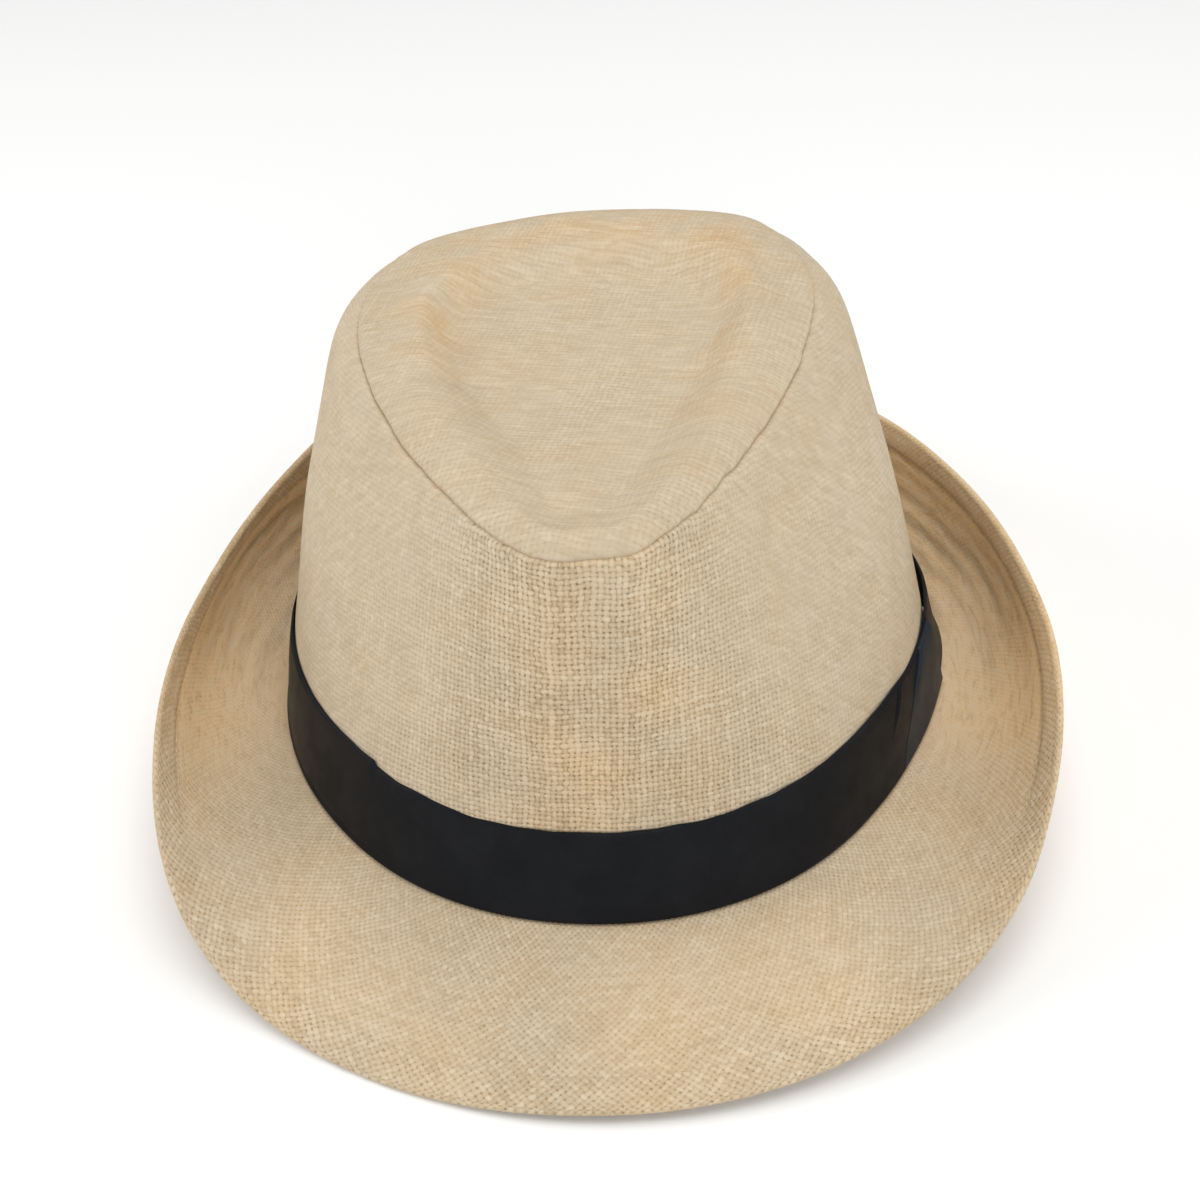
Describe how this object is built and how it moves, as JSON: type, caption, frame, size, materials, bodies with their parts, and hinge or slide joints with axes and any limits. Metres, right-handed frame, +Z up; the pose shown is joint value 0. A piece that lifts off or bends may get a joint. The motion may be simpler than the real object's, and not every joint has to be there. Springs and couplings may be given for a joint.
{
  "type": "fedora hat",
  "caption": "Woven straw-coloured fedora with a teardrop dented crown, black ribbon band and a brim snapped down in front and curled up at the sides and back.",
  "frame": {"origin": "middle of the whole hat's outline from above, at the height of the table it rests on", "axes": "-Y toward the front of the hat, +X toward the wearer's left, +Z up out of the crown"},
  "size_m": [0.2308, 0.2836, 0.118],
  "materials": {
    "crown_cloth": "open plain weave of slubby straw-coloured yarn",
    "brim_cloth": "two plies of plain weave cut on the bias, with a stitched hem",
    "ribbon": "black ribbon with a dull sheen"
  },
  "bodies": {
    "root": {"crown_tip": "crown_cloth", "crown_side": "crown_cloth", "brim": "brim_cloth", "hat_band": "ribbon", "band_tuck": "ribbon"}
  },
  "joints": []
}
